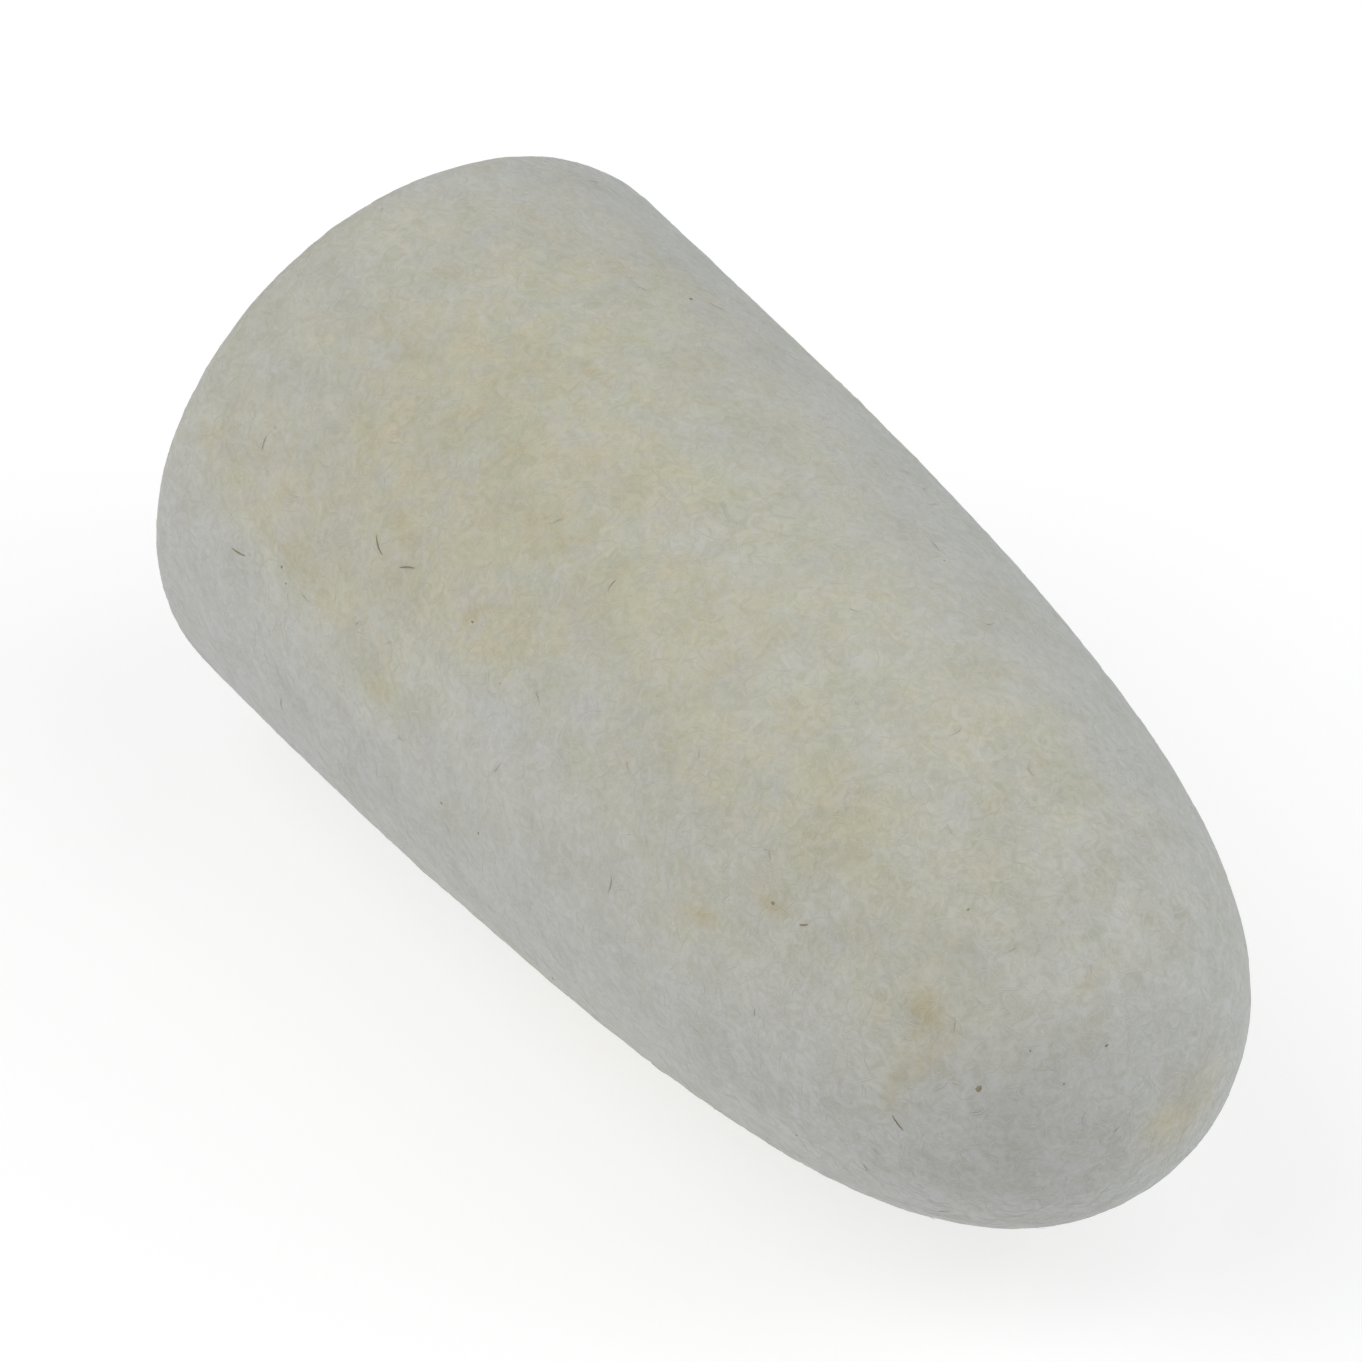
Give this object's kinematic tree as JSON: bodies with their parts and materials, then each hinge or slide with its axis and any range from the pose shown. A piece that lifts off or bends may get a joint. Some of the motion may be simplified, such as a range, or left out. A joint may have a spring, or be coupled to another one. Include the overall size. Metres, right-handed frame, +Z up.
{
  "type": "felt polishing wheel",
  "caption": "Bullet-shaped felt polishing bob with a flat back, a softened back edge, a long tapering side, a round nose and a blind arbor hole in the back.",
  "frame": {"origin": "on the surface that the bob lies on, below the middle of its length and of its width", "axes": "+X along the bob's level axis, from its flat back to its nose; +Z up; the back is at -X"},
  "size_m": [0.0508, 0.0254, 0.0254],
  "materials": {
    "wool_felt": "matte"
  },
  "bodies": {
    "root": {"felt_bob": "wool_felt"}
  },
  "joints": []
}
